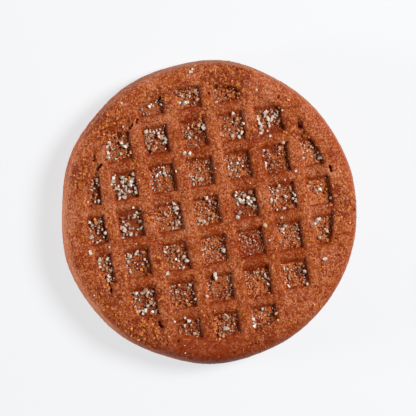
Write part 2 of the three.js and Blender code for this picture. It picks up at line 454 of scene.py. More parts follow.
class TreeWriter:
    """Adds nodes to a tree, in rows, and returns their outputs as fields."""

    COLUMNS = 14
    COLUMN_WIDTH = 190
    ROW_HEIGHT = 260

    def __init__(self, tree):
        self.tree = tree
        self.source = None

    def node(self, kind, inputs=None, **settings):
        """A new node, with its settings and the values or links of the inputs named."""
        row, column = divmod(len(self.tree.nodes), self.COLUMNS)
        made = self.tree.nodes.new(kind)
        made.location = (self.COLUMN_WIDTH * column, -self.ROW_HEIGHT * row)
        for name, value in settings.items():
            setattr(made, name, value)
        for name, value in (inputs or {}).items():
            self.fill(self.pick(made.inputs, name), value)
        return made

    @staticmethod
    def pick(sockets, name):
        """The socket with that number, or the one in use with that name."""
        if isinstance(name, int):
            return sockets[name]
        return next(s for s in sockets if s.name == name and s.enabled)

    def fill(self, socket, value):
        """Links a field to the socket, or sets its value."""
        if isinstance(value, Field):
            self.tree.links.new(value.socket, socket)
        else:
            socket.default_value = value

    def out(self, made, name=0):
        """A node's output as a field."""
        return Field(self, self.pick(made.outputs, name))

    def result(self, kind, inputs=None, output=0, **settings):
        """The output of a new node as a field."""
        return self.out(self.node(kind, inputs, **settings), output)

    def input(self, name, kind, default=None, description=""):
        """A named input of the whole tree, as a field."""
        socket = self.tree.interface.new_socket(
            name=name, in_out="INPUT", socket_type=kind, description=description
        )
        if default is not None:
            socket.default_value = default
        if self.source is None:
            self.source = self.node("NodeGroupInput")
        return self.out(self.source, name)

    def inputs_of(self, *groups):
        """An input for each size in the property groups, with its name, default and description."""
        fields = SimpleNamespace()
        for group in groups:
            for key in group.__annotations__:
                about = group.bl_rna.properties[key]
                if about.subtype == "COLOR":
                    continue  # a colour belongs to the material
                kind = "NodeSocketInt" if about.type == "INT" else "NodeSocketFloat"
                default = about.default
                if about.is_array:
                    kind, default = "NodeSocketVector", tuple(about.default_array)
                setattr(fields, key, self.input(about.name, kind, default, about.description))
        return fields

    def math(self, operation, first, second=0.0):
        """A sum, a product or the like of two numbers."""
        return self.result("ShaderNodeMath", {0: first, 1: second}, operation=operation)

    def vector(self, operation, first, second=(0.0, 0.0, 0.0)):
        """A sum, a distance or the like of two vectors."""
        output = "Value" if operation in {"LENGTH", "DISTANCE"} else "Vector"
        inputs = {0: first, 1: second}
        return self.result("ShaderNodeVectorMath", inputs, output, operation=operation)

    def scaled(self, first, factor):
        """A vector times a number."""
        inputs = {"Vector": first, "Scale": factor}
        return self.result("ShaderNodeVectorMath", inputs, "Vector", operation="SCALE")

    def parts(self, vector):
        """The x, y and z of a vector."""
        made = self.node("ShaderNodeSeparateXYZ", {0: vector})
        return [self.out(made, number) for number in range(3)]

    def joined(self, x=0.0, y=0.0, z=0.0):
        """A vector made of x, y and z."""
        return self.result("ShaderNodeCombineXYZ", {0: x, 1: y, 2: z})

    def step(self, value, low, high, to_low=0.0, to_high=1.0):
        """A smooth step from to_low at low to to_high at high."""
        inputs = {0: value, 1: low, 2: high, 3: to_low, 4: to_high}
        return self.result("ShaderNodeMapRange", inputs, interpolation_type="SMOOTHSTEP")

    def noise_result(self, output, where, size, seed, detail, roughness=0.5):
        """An output of a noise texture with lumps about as wide as size, which the seed changes."""
        inputs = {"Vector": where, "W": seed, "Scale": 1.0 / size}
        inputs.update({"Detail": detail, "Roughness": roughness})
        return self.result("ShaderNodeTexNoise", inputs, output, noise_dimensions="4D")

    def noise(self, where, size, seed=0.0, detail=1.0, roughness=0.5):
        """Smooth noise from about -1 to 1, with lumps about as wide as size."""
        return self.noise_result(0, where, size, seed, detail, roughness) * 2.0 - 1.0

    def drift(self, where, size, amount, seed=0.0, detail=1.0):
        """The place where, moved about by up to amount in swirls about as wide as size."""
        swirls = self.noise_result("Color", where, size, seed, detail)
        middled = self.vector("SUBTRACT", swirls, (0.5, 0.5, 0.5))
        return self.vector("ADD", where, self.scaled(middled, amount * 2.0))

    def blend(self, factor, first, second):
        """A colour between two others: the first where the factor is 0, the second where it is 1."""
        inputs = {"Factor": factor, "A": first, "B": second}
        return self.result("ShaderNodeMix", inputs, "Result", data_type="RGBA")

    def cells(self, where, size, seed):
        """Cells about as wide as size: the distance to a cell's middle, and its random number."""
        inputs = {"Vector": where, "W": seed, "Scale": 1.0 / size}
        made = self.node("ShaderNodeTexVoronoi", inputs, voronoi_dimensions="4D")
        lot = self.parts(self.out(made, "Color"))[0]
        return self.out(made, "Distance"), lot


class GeometryWriter(TreeWriter):
    """Writes a Geometry Nodes tree."""

    def __init__(self, name):
        super().__init__(bpy.data.node_groups.new(name, "GeometryNodeTree"))

    def read(self, name):
        """A named attribute."""
        return self.result("GeometryNodeInputNamedAttribute", {"Name": name})

    def store(self, geometry, name, value, domain="POINT"):
        """The geometry with a number stored as a named attribute."""
        inputs = {"Geometry": geometry, "Name": name, "Value": value}
        return self.result("GeometryNodeStoreNamedAttribute", inputs, domain=domain)

    def position(self):
        """Where each point of the geometry is."""
        return self.result("GeometryNodeInputPosition")

    def moved(self, geometry, offset):
        """The geometry with each point moved."""
        return self.result("GeometryNodeSetPosition", {"Geometry": geometry, "Offset": offset})

    def chance(self, kind, seed, **limits):
        """A random number, whole number or vector for each point, by its kind."""
        inputs = {"Seed": seed, **limits}
        return self.result("FunctionNodeRandomValue", inputs, "Value", data_type=kind)

    def finished(self, material, *layers):
        """The tree, ended by joining the layers into one plain mesh with the material."""
        together = self.node("GeometryNodeJoinGeometry")
        for layer in layers:
            self.tree.links.new(layer.socket, together.inputs[0])
        plain = self.result("GeometryNodeRealizeInstances", {0: self.out(together)})
        made = self.result("GeometryNodeSetMaterial", {"Geometry": plain, "Material": material})
        self.tree.interface.new_socket(
            name="Geometry", in_out="OUTPUT", socket_type="NodeSocketGeometry"
        )
        self.node("NodeGroupOutput", {"Geometry": made})
        return self.tree


class ShaderWriter(TreeWriter):
    """Writes a material's tree round its Principled BSDF."""

    def __init__(self, name):
        material = bpy.data.materials.new(name)
        material.use_nodes = True
        super().__init__(material.node_tree)
        self.material = material
        self.shader = material.node_tree.nodes["Principled BSDF"]
        self.where = self.result("ShaderNodeTexCoord", output="Object")

    def read(self, name):
        """A named attribute of the mesh."""
        return self.result("ShaderNodeAttribute", output="Fac", attribute_name=name)

    def bump(self, height, distance=1.0):
        """The normal of a surface that stands out by a height in metres."""
        return self.result("ShaderNodeBump", {"Height": height, "Distance": distance})

    def set(self, **values):
        """Sets the shader's inputs: base_color is its Base Color, and so on."""
        for name, value in values.items():
            wanted = name.replace("_", " ").lower()
            socket = next(s for s in self.shader.inputs if s.name.lower() == wanted)
            self.fill(socket, value)


def add_nodes(piece, tree, *groups, **others):
    """Puts a tree on a piece, with its inputs set from property groups and other values by name."""
    modifier = piece.modifiers.new(tree.name, "NODES")
    modifier.node_group = tree
    values = {key.replace("_", " "): value for key, value in others.items()}
    for group in groups:
        for key in group.__annotations__:
            values[group.bl_rna.properties[key].name] = getattr(group, key)
    for item in tree.interface.items_tree:
        if item.in_out == "INPUT" and item.name in values:
            value = values[item.name]
            modifier[item.identifier] = tuple(value) if hasattr(value, "__len__") else value


def baked(piece):
    """Replaces a piece's mesh by what its modifiers make of it, and removes them."""
    view = bpy.context.evaluated_depsgraph_get()
    mesh = bpy.data.meshes.new_from_object(piece.evaluated_get(view))
    piece.modifiers.clear()
    old = piece.data
    piece.data = mesh
    mesh.name = piece.name
    bpy.data.meshes.remove(old)
    return piece


def linked(name, mesh):
    """A new object in the scene that shows the mesh."""
    piece = bpy.data.objects.new(name, mesh)
    bpy.context.scene.collection.objects.link(piece)
    return piece


# ----------------------------------------------------------------------- dough


def outline(turn):
    """How far the cookie's edge stands out of a circle in one direction."""
    waves = (high * math.cos(count * (turn - math.radians(peak))) for count, high, peak in LOBES)
    return sum(waves) * MM


def blank_profile(size):
    """(radius, height, way) from the middle of the top to the middle of the base. The way is 0 on
    the top, rises from 0 to 1 over the shoulder, from 1 to 2 down the side and from 2 to 3 round
    the base's edge, and is 4 in the middle of the base."""
    radius = size.diameter / 2
    shoulder = size.thickness - size.dome
    inner = radius - size.shoulder_width
    steps = 60
    line = []
    for number in range(steps):
        part = number / steps
        line.append((inner * part, size.thickness - size.dome * part**2, 0.0))
    for number in range(steps):
        turn = math.pi / 2 * number / steps
        line.append(
            (
                inner + (size.shoulder_width - size.side_inset) * math.sin(turn),
                size.side_height + (shoulder - size.side_height) * math.cos(turn),
                number / steps,
            )
        )
    for number in range(steps):
        part = number / steps
        line.append(
            (
                radius - size.side_inset * (1 - part) ** 1.5,
                size.side_height + (size.belly_height - size.side_height) * part,
                1.0 + part,
            )
        )
    for number in range(steps):
        turn = math.pi / 2 * number / steps
        line.append(
            (
                radius - size.base_inset * (1 - math.cos(turn)),
                size.belly_height * (1 - math.sin(turn)),
                2.0 + number / steps,
            )
        )
    for number in range(steps + 1):
        part = number / steps
        line.append(((radius - size.base_inset) * (1 - part), 0.0, 3.0 + part))
    return line


def spaced(line, edge_at):
    """Points along a profile, edge_at(way) apart."""
    found = [line[0]]
    gone = 0.0
    for start, end in zip(line, line[1:]):
        whole = math.dist(start[:2], end[:2])
        walked = 0.0
        while whole - walked >= edge_at(start[2]) - gone:
            walked += edge_at(start[2]) - gone
            gone = 0.0
            found.append(tuple(a + (b - a) * walked / whole for a, b in zip(start, end)))
        gone += whole - walked
    if found[-1][0] < edge_at(4.0) * 0.6:
        found.pop()
    return found + [line[-1]]


def stitched(inner, outer):
    """Triangles between two rings of vertices, each given as (first number, count, turn of the
    first vertex), the second ring lying further along the profile."""
    first, count, start = inner
    next_first, next_count, next_start = outer
    faces = []
    i = j = 0
    while i < count or j < next_count:
        turn = start + (i + 1) / count
        next_turn = next_start + (j + 1) / next_count
        here = first + i % count
        there = next_first + j % next_count
        if j == next_count or (i < count and turn < next_turn):
            faces.append((here, there, first + (i + 1) % count))
            i += 1
        else:
            faces.append((here, there, next_first + (j + 1) % next_count))
            j += 1
    return faces


def blank_mesh(size):
    """The cookie before its top is pressed: rings of even triangles on all sides."""

    def edge_at(way):
        """Edge length of the mesh along the profile."""
        if way < 3.0:
            return size.top_edge + (size.side_edge - size.top_edge) * min(way, 1.0)
        return size.side_edge + (size.base_edge - size.side_edge) * min((way - 3.0) * 8, 1.0)

    vertices = []
    ways = []
    faces = []
    last = None
    for number, (radius, height, way) in enumerate(spaced(blank_profile(size), edge_at)):
        count = max(1, 6 * round(radius * math.tau / edge_at(way) / 6))
        start = 0.5 / count * (number % 2)
        ring = (len(vertices), count, start)
        for place_number in range(count):
            turn = math.tau * (start + place_number / count)
            reach = radius * (1 + outline(turn) / (size.diameter / 2))
            vertices.append((reach * math.cos(turn), reach * math.sin(turn), height))
            ways.append(way)
        if last:
            faces += stitched(last, ring)
        last = ring
    mesh = bpy.data.meshes.new("blank")
    mesh.from_pydata(vertices, [], [face for face in faces if len(set(face)) == 3])
    mesh.shade_smooth()
    paint(mesh, "way", ways)
    return mesh


def paint(mesh, name, values):
    """Stores a number for each vertex as a named attribute."""
    mesh.attributes.new(name, "FLOAT", "POINT").data.foreach_set("value", values)


def distance_to_slit(x, y, start, end):
    """Distance of a point from the line between two others."""
    along = (end[0] - start[0], end[1] - start[1])
    reach = (x - start[0]) * along[0] + (y - start[1]) * along[1]
    part = min(max(reach / (along[0] ** 2 + along[1] ** 2), 0.0), 1.0)
    return math.hypot(x - start[0] - part * along[0], y - start[1] - part * along[1])


def crack_depth(x, y):
    """How deep a crack is at a place on the top."""
    depth = 0.0
    for start, end, half_width, deepest in CRACKS:
        if max(abs(x - start[0]), abs(y - start[1])) < LONGEST_CRACK:
            gap = distance_to_slit(x, y, start, end) / half_width
            depth = max(depth, deepest * max(0.0, 1.0 - gap * gap / 2))
    return depth * MM


def dent_depth(x, y):
    """How deep a smooth dent is at a place on the top."""
    depth = 0.0
    for start, end, half_width, deepest in DENTS:
        gap = distance_to_slit(x, y, start, end) / half_width
        depth = max(depth, deepest * max(0.0, 1.0 - gap * gap) ** 2)
    return depth * MM


def nearness(x, y, spots):
    """The amount of each spot, and how near a place is: 1 in the spot's middle, 0 on its edge and
    less outside."""
    for (spot_x, spot_y), reach, amount in spots:
        yield amount, 1.0 - (math.hypot(x - spot_x, y - spot_y) / reach) ** 2


def faintness(x, y):
    """How much of the press's mark is missing, which changes quickly at a spot's edge."""
    spots = nearness(x, y, FAINT_SPOTS)
    return max(amount * min(1.0, max(0.0, 2.5 * near)) for amount, near in spots)


def crumbliness(x, y):
    """How thick the dry crumbs lie."""
    return max(amount * max(0.0, near) for amount, near in nearness(x, y, CRUMB_PATCHES))


def sugariness(x, y):
    """How much more coarse sugar there is than elsewhere."""
    return sum(amount for amount, near in nearness(x, y, SUGARY_SPOTS) if near > 0.0)


def paleness(x, y):
    """How much paler the crust is than elsewhere."""
    return sum(amount * max(0.0, near) ** 2 for amount, near in nearness(x, y, PALE_SPOTS))


def lone_grain(x, y):
    """1 where a lone grain lies, and 0 elsewhere."""
    return float(any(math.dist((x, y), grain) < LONE_GRAIN_REACH for grain in LONE_GRAINS))


MARKS = {
    "crack": crack_depth,
    "dent": dent_depth,
    "patch": crumbliness,
    "lone": lone_grain,
    "faint": faintness,
    "sugary": sugariness,
    "paler": paleness,
}


def paint_marks(mesh, oval):
    """Paints each kind of mark on the blank's top and sides as an attribute."""
    places = [
        (vertex.co.x * oval / MM, vertex.co.y / MM) if vertex.normal.z > 0 else None
        for vertex in mesh.vertices
    ]
    for name, mark in MARKS.items():
        paint(mesh, name, [mark(*place) if place else 0.0 for place in places])


def bar_height(write, size, off_middle, wall_end, half_width):
    """How far the surface lies below a bar's top, at a distance from the bar's centreline."""
    part = write.math("MINIMUM", off_middle / half_width, 1.0)
    rounded = 1.0 - write.math("SQRT", 1.0 - part * part * 0.9)
    wall = write.step(off_middle, half_width * 0.85, wall_end)
    bowl = write.step(off_middle, wall_end * 0.7, size.pitch * 0.55) * size.bowl
    return rounded * size.crown + wall * (size.depth - size.crown - size.bowl) + bowl


def press_tree(material):
    """Presses the waffle grid into the blank's top and roughens the crust all over."""
    write = GeometryWriter("Waffle press")
    geometry = write.input("Geometry", "NodeSocketGeometry")
    size = write.inputs_of(PressSizes, CrustSizes)
    oval = write.input("Oval", "NodeSocketFloat", 1.0, "Width along X as a share of the diameter")

    top = write.step(write.read("way"), 0.9, 0.5)
    flat_place = write.vector("MULTIPLY", write.position(), (1.0, 1.0, 0.0))
    strayed = write.drift(flat_place, 6.5 * MM, size.wander, size.seed)
    strayed = write.drift(strayed, 1.5 * MM, size.ragged, size.seed + 1.0)

    # The place within one pocket's square of the grid, from the pocket's middle.
    shifted = write.vector("SUBTRACT", strayed, size.shift)
    turned = write.result(
        "ShaderNodeVectorRotate",
        {"Vector": shifted, "Axis": (0.0, 0.0, 1.0), "Angle": 0.0 - size.turn},
    )
    row_pitch = size.pitch * size.stretch
    squares = write.vector("DIVIDE", turned, write.joined(size.pitch, row_pitch, size.pitch))
    square = write.vector("FLOOR", write.vector("ADD", squares, (0.5, 0.5, 0.5)))
    inside = write.vector("SUBTRACT", squares, square)
    from_left, from_bottom, _ = write.parts(inside)
    across, along, _ = write.parts(write.vector("ABSOLUTE", inside))
    lot = write.result("ShaderNodeTexWhiteNoise", {"Vector": square}, "Value")

    # The long bars run up and down, and the cross bars lie lower and sag between them.
    off_long = (0.5 - across) * size.pitch
    off_cross = (0.5 - along) * row_pitch
    widened = 1.0 + write.noise(flat_place, 5.0 * MM, size.seed + 7.0) * size.bar_spread
    half_width = size.bar_width * 0.5 * widened
    wall_end = (size.pitch - size.floor_width) * 0.5
    long_end = wall_end + from_left * size.right_slope
    cross_end = wall_end + from_bottom * size.top_slope
    long_bar = bar_height(write, size, off_long, long_end, half_width)
    sagged = size.cross_drop + write.step(off_long, 0.0, size.pitch * 0.5) * size.sag
    cross_bar = bar_height(write, size, off_cross, cross_end, half_width)
    cross_bar = cross_bar + sagged * (1.0 - write.step(off_cross, half_width, cross_end))
    both = {0: long_bar, 1: cross_bar, 2: size.blend}
    low = write.result("ShaderNodeMath", both, operation="SMOOTH_MIN")
    low = write.math("MAXIMUM", low, 0.0)

    from_centre = write.vector("DISTANCE", strayed, size.field_shift)
    field = write.step(from_centre, size.field_radius, size.field_radius - size.field_draft) * top
    field = field * (1.0 - write.read("faint"))
    pocket = write.math("MINIMUM", low / size.depth, 1.0)
    deeper = 1.0 + size.depth_spread * (lot * 2.0 - 1.0) * pocket
    pressed = low * deeper * field
    from_wall = write.math("MINIMUM", off_long - long_end, off_cross - cross_end)
    floor = write.step(from_wall, -0.5 * MM, 0.0)

    torn = write.noise(flat_place, 0.7 * MM, size.seed + 6.0)
    cracked = write.math("MAXIMUM", write.read("crack") * (0.75 + 1.5 * torn), 0.0)

    # Pockets on the left hold coarse sugar, and those on the right hold fine sugar.
    column, row, _ = write.parts(square)
    other = write.vector("ADD", square, (0.0, 0.0, 5.0))
    other_lot = write.result("ShaderNodeTexWhiteNoise", {"Vector": other}, "Value")
    fine = 0.62 + column * 0.05 - row * 0.02 + (other_lot - 0.5) * 0.35 - write.read("sugary")
    fine = write.math("MAXIMUM", write.math("MINIMUM", fine, 1.0), 0.0)

    geometry = write.store(geometry, "pocket", pocket * field)
    geometry = write.store(geometry, "floor", floor * write.step(field, 0.5, 0.9))
    geometry = write.store(geometry, "fine", fine)
    geometry = write.store(geometry, "far", from_bottom * 2.0)
    geometry = write.store(geometry, "torn", cracked)
    sunk = pressed + cracked + write.read("dent")
    geometry = write.moved(geometry, write.joined(z=0.0 - sunk))

    # The crust's own relief, which stands out along the surface's normal.
    where = write.position()
    swell = write.noise(where, 6.0 * MM, size.seed + 2.0) * size.swell
    crumbly = 0.8 + write.read("patch") * 2.0
    crag = write.noise(where, 1.3 * MM, size.seed + 3.0, detail=2.0) * size.crag * crumbly
    grit = write.noise(where, 0.55 * MM, size.seed + 4.0) * size.grit
    gap, pore_lot = write.cells(where, 0.8 * MM, size.seed + 5.0)
    pore = write.step(gap, 0.42, 0.12) * write.step(pore_lot, 0.78, 0.9) * size.pore
    relief = swell + crag + grit - pore
    normal = write.result("GeometryNodeInputNormal")
    geometry = write.moved(geometry, write.scaled(normal, relief))

    # Nothing hangs below the base, which lies flat.
    x, y, z = write.parts(write.position())
    level = write.joined(x * oval, y, write.math("MAXIMUM", z, 0.0))
    inputs = {"Geometry": geometry, "Position": level}
    return write.finished(material, write.result("GeometryNodeSetPosition", inputs))


# How wide the lumps or cells of each pattern in the dough's colour are.
WIDTHS = SimpleNamespace(
    broad=8.0 * MM,
    crumbly=4.0 * MM,
    lump=2.4 * MM,
    hue=1.3 * MM,
    chunk=0.9 * MM,
    grain=0.8 * MM,
    streak=0.7 * MM,
    pore=0.6 * MM,
    speck=0.5 * MM,
    grit=0.26 * MM,
)


def dough_patterns(write, turn):
    """The patterns that the dough's colours and its fine relief are made from."""
    where = write.where
    seen = SimpleNamespace(patch=write.read("patch"), way=write.read("way"))
    seen.lump = write.noise(where, WIDTHS.lump, seed=2.0, detail=2.0)
    seen.grain = write.noise(where, WIDTHS.grain, seed=3.0, detail=3.0, roughness=0.75)
    seen.grit = write.noise(where, WIDTHS.grit, seed=4.0, detail=0.0)
    loose = write.noise(where, WIDTHS.crumbly, seed=7.0) + seen.patch * 1.3
    seen.crumbly = write.step(loose, 0.05, 0.75)
    seen.gap, seen.lot = write.cells(where, WIDTHS.speck, seed=5.0)
    chosen = write.step(seen.lot + seen.crumbly * 0.25, 0.9, 1.0)
    seen.speck = write.step(seen.gap, 0.55, 0.25) * chosen
    seen.tone = dough_tone(write, seen, turn)
    return seen


def dough_tone(write, seen, turn):
    """How light the dough is, from about -1 to 1. It varies more where the dough is crumbly."""
    broad = write.noise(write.where, WIDTHS.broad, seed=1.0)
    along_bars = write.result(
        "ShaderNodeMapping",
        {"Vector": write.where, "Rotation": (0.0, 0.0, -turn), "Scale": (1.0, 0.3, 1.0)},
    )
    streak = write.noise(along_bars, WIDTHS.streak, seed=13.0)
    tone = write.read("paler") * 0.9 + broad * 0.45 + seen.lump * 0.6 + streak * 0.5
    # Partly painted light: the grain and grit that raise the crust also lighten it, so hollows are
    # darker.
    tone = tone + seen.grain * (1.05 + 0.5 * seen.crumbly)
    tone = tone + seen.grit * (1.55 + 1.1 * seen.crumbly)
    return tone + (seen.lot - 0.5) * (0.4 + 0.9 * seen.crumbly)


def crust_colour(write, colours, seen):
    """The colour of the bars and the rim: mottled brown with toasted specks."""
    crust = write.blend(write.step(seen.tone, -0.85, 0.05), colours.dark, colours.middle)
    crust = write.blend(write.step(seen.tone, 0.0, 0.95), crust, colours.light)

    # Cool parts are above 0 and warm parts below.
    swirled = write.drift(write.where, 2.0 * MM, 1.0 * MM, seed=9.0)
    hue = write.noise(swirled, WIDTHS.hue, seed=8.0, detail=3.0, roughness=0.9)
    hue = hue + write.read("faint") * 0.1 - seen.patch * 0.1
    crust = write.blend(write.step(hue, 0.05, 0.6) * 0.62, crust, colours.bloom)
    crust = write.blend(write.step(hue, 0.05, -0.5) * 0.6, crust, colours.toast)
    crust = write.blend(seen.speck * 0.85, crust, colours.orange)

    # Crumbly dough has toasted chunks, with painted shade in the gaps between them.
    bent = write.drift(write.where, 1.5 * MM, 0.4 * MM, seed=12.0)
    gap, lot = write.cells(bent, WIDTHS.chunk, seed=10.0)
    chunk = write.step(gap, 0.55, 0.35) * write.step(lot + seen.patch * 0.3, 0.72, 0.9)
    crust = write.blend(chunk * seen.crumbly * 0.7, crust, colours.orange)
    # Painted shade: the gaps between chunks and specks take the dark colour.
    between = write.math("MAXIMUM", write.step(seen.gap, 0.5, 0.85), write.step(gap, 0.55, 0.8))
    return write.blend(between * seen.crumbly * 0.8, crust, colours.dark)


def pocket_colour(write, colours, seen, crust):
    """The crust's colour, with painted shade on the pockets' deeper walls, and the floors that sugar
    has stained.
    """
    # Painted shade: the deeper the crust lies in a pocket, the more it takes the dark wall colour.
    crust = write.blend(write.step(write.read("pocket"), 0.1, 0.65) * 0.75, crust, colours.wall)
    glazed = write.blend(write.step(seen.tone, -0.6, 0.6), colours.damp_and_shade, colours.floor)
    # Floors under coarse sugar are darker, partly as painted shade between the grains.
    floor = write.blend(write.read("fine"), write.blend(0.75, glazed, colours.damp_and_shade), glazed)
    bare = write.step(write.read("sugary"), -0.1, -0.5)
    floor = write.blend(bare * 0.55, floor, colours.wall)
    stained = write.step(write.read("floor") + seen.lump * 0.3 + seen.grain * 0.3, 0.3, 0.75)
    return write.blend(stained, crust, floor)


def side_colour(write, colours, seen, crust):
    """The crust's colour, with the pale side partly painted as sheen, painted shade on the near and
    right edges, and the underside.
    """
    way = seen.way
    x, y, _ = write.parts(write.where)
    right_side = write.step(x, 7.0 * MM, 22.0 * MM)

    # The pale side is partly dry dough and partly painted sheen, with painted shade: less of it
    # towards the near side and the upper left, more on the right, where the main light falls.
    dust_and_sheen_amount = write.step(way + seen.lump * 0.15, 0.5, 1.15) * write.step(way, 3.3, 2.6)
    dust_and_sheen_amount = dust_and_sheen_amount * write.step(y, -30.0 * MM, -21.0 * MM, 0.1, 1.0)
    dust_and_sheen_amount = dust_and_sheen_amount * write.step(y - x, 30.0 * MM, 41.0 * MM, 1.0, 0.15)
    dust_and_sheen = write.blend(write.step(seen.tone, -1.0, 0.5), colours.middle, colours.dust_and_sheen)
    crust = write.blend(dust_and_sheen_amount * (0.6 + 0.25 * right_side), crust, dust_and_sheen)

    # Painted shadow: along the near edge, low in the view, the top and shoulder take the dark wall
    # colour.
    near_edge_shade = write.step(y, -20.5 * MM, -30.0 * MM) * write.step(way, 1.6, 1.0) * 0.75
    # Painted shade: the right shoulder, which faces the main light, is darkened with the wall
    # colour.
    right_edge_shade = right_side * write.step(way, 0.05, 0.5) * write.step(way, 1.9, 1.3) * 0.32
    crust = write.blend(near_edge_shade + right_edge_shade, crust, colours.wall)

    under = write.blend(write.step(seen.tone, -0.5, 0.5), colours.dark, colours.under)
    return write.blend(write.step(way, 2.6, 3.1) * 0.8, crust, under)


def dough_material(colours, turn):
    """Baked chocolate dough: brown and crumbly, with pale sides partly painted as sheen, glazed
    pocket floors, and painted shade in the pockets, cracks and pores.
    """
    write = ShaderWriter("baked_dough")
    seen = dough_patterns(write, turn)
    crust = crust_colour(write, colours, seen)
    crust = pocket_colour(write, colours, seen, crust)
    crust = side_colour(write, colours, seen, crust)

    gap, lot = write.cells(write.where, WIDTHS.pore, seed=6.0)
    pore = write.step(gap, 0.4, 0.16) * write.step(lot + seen.crumbly * 0.06, 0.84, 0.92)
    crack = write.step(write.read("torn") + seen.grit * (0.15 * MM), 0.2 * MM, 0.6 * MM)
    # Painted shade: the deeper cracks and the pores take the near-black colour.
    hole_shade = write.math("MAXIMUM", pore * 0.7, crack * 0.8)

    height = seen.grain * (0.12 * MM) + seen.grit * (0.05 * MM)
    height = height + seen.speck * (0.10 * MM) - pore * (0.15 * MM)
    height = height - seen.gap * (0.3 + seen.crumbly) * (0.12 * MM)
    write.set(
        base_color=write.blend(hole_shade, crust, colours.hole_shade),
        roughness=0.5,
        diffuse_roughness=0.3,
        specular_ior_level=0.08,
        normal=write.bump(height),
    )
    return write.material


class COOKIE_OT_dough(bpy.types.Operator):
    """Bake the dough: a round blank with a waffle grid pressed into its top"""

    bl_idname = "cookie.dough"
    bl_label = "Dough"
    bl_options = {"REGISTER", "UNDO"}

    def execute(self, context):
        scene = context.scene
        mesh = blank_mesh(scene.cookie_blank)
        paint_marks(mesh, scene.cookie_blank.oval)
        dough = linked("cookie_dough", mesh)
        add_nodes(
            dough,
            press_tree(dough_material(scene.cookie_dough, scene.cookie_press.turn)),
            scene.cookie_press,
            scene.cookie_crust,
            Oval=scene.cookie_blank.oval,
        )
        baked(dough)
        corners = [[vertex.co[axis] for vertex in dough.data.vertices] for axis in range(2)]
        middle = [(min(values) + max(values)) / 2 for values in corners]
        dough.data.transform(Matrix.Translation((-middle[0], -middle[1], 0.0)))
        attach(dough, BODY)
        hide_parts(NODE)
        return {"FINISHED"}


# ------------------------------------------------------------- sugar and crumbs


def chipped(name, corners, spread, boxy, draw):
    """A small closed lump about 1 m wide: the hull of points scattered on a shape between a ball,
    where boxy is 0, and a block, where it is 1."""
    shape = bmesh.new()
    for _ in range(corners):
        point = Vector([draw.gauss(0.0, 1.0) for _ in range(3)]).normalized()
        block = max(abs(value) for value in point)
        point *= 1.0 + boxy * (1.0 / block - 1.0)
        point = Vector([value * wide * 0.5 for value, wide in zip(point, spread)])
        shape.verts.new(point)
    hull = bmesh.ops.convex_hull(shape, input=shape.verts)
    loose = [item for item in hull["geom_interior"] if isinstance(item, bmesh.types.BMVert)]
    bmesh.ops.delete(shape, geom=loose, context="VERTS")
    mesh = bpy.data.meshes.new(name)
    shape.to_mesh(mesh)
    shape.free()
    return bpy.data.objects.new(name, mesh)


def lump_collection(name, count, corners, flatness, boxy, seed):
    """A collection of different lumps for the scatter to pick from."""
    draw = random.Random(seed)
    lumps = bpy.data.collections.new(name)
    for number in range(count):
        spread = [1.0, draw.uniform(*flatness), draw.uniform(*flatness)]
        lumps.objects.link(chipped(f"{name}_{number}", corners, spread, boxy, draw))
    return lumps


def remove_collection(lumps):
    """Removes the lumps that a scatter picked from."""
    for lump in list(lumps.objects):
        mesh = lump.data
        bpy.data.objects.remove(lump)
        bpy.data.meshes.remove(mesh)
    bpy.data.collections.remove(lumps)


def scattered(write, surface, lumps, count, spacing, density, factor, sizes, rarity, shades, seed):
    """Lumps on a surface, each of its own size, shade and turn, with their middles a little above
    it. The density is the most on a square millimetre, and the factor thins it out. The sizes are
    the smallest, the largest and the share sunk, and a high rarity makes large ones rare."""
    points = write.node(
        "GeometryNodeDistributePointsOnFaces",
        {
            "Mesh": surface,
            "Distance Min": spacing,
            "Density Max": density * (1.0 / MM**2),
            "Density Factor": factor,
            "Seed": seed,
        },
        distribute_method="POISSON",
    )
    smallest, largest, sunk = sizes
    lot = write.chance("FLOAT", seed + 1.0, Min=0.0, Max=1.0) ** rarity
    spots = write.store(write.out(points), "size", smallest + (largest - smallest) * lot)
    size = write.read("size")
    normal = write.out(points, "Normal")
    spots = write.moved(spots, write.scaled(normal, size * sunk))
    placed = write.result(
        "GeometryNodeInstanceOnPoints",
        {
            "Points": spots,
            "Instance": lumps,
            "Pick Instance": True,
            "Instance Index": write.chance("INT", seed + 2.0, Max=count - 1),
            "Rotation": write.chance("FLOAT_VECTOR", seed + 3.0, Max=(math.tau,) * 3),
            "Scale": size,
        },
    )
    shade = write.chance("FLOAT", seed + 4.0, Min=shades[0], Max=shades[1])
    return write.store(placed, "shade", shade, "INSTANCE")


def lump_input(write, lumps):
    """The lumps of a collection as instances to pick from."""
    inputs = {"Collection": lumps, "Separate Children": True, "Reset Children": True}
    return write.result("GeometryNodeCollectionInfo", inputs)


def on_dough(name):
    """A piece whose mesh is, for now, a copy of the dough's."""
    dough = bpy.data.objects.get("cookie_dough")
    if dough is None:
        raise RuntimeError("bake the dough before its sugar and crumbs")
    mesh = dough.data.copy()
    mesh.materials.clear()
    return linked(name, mesh)


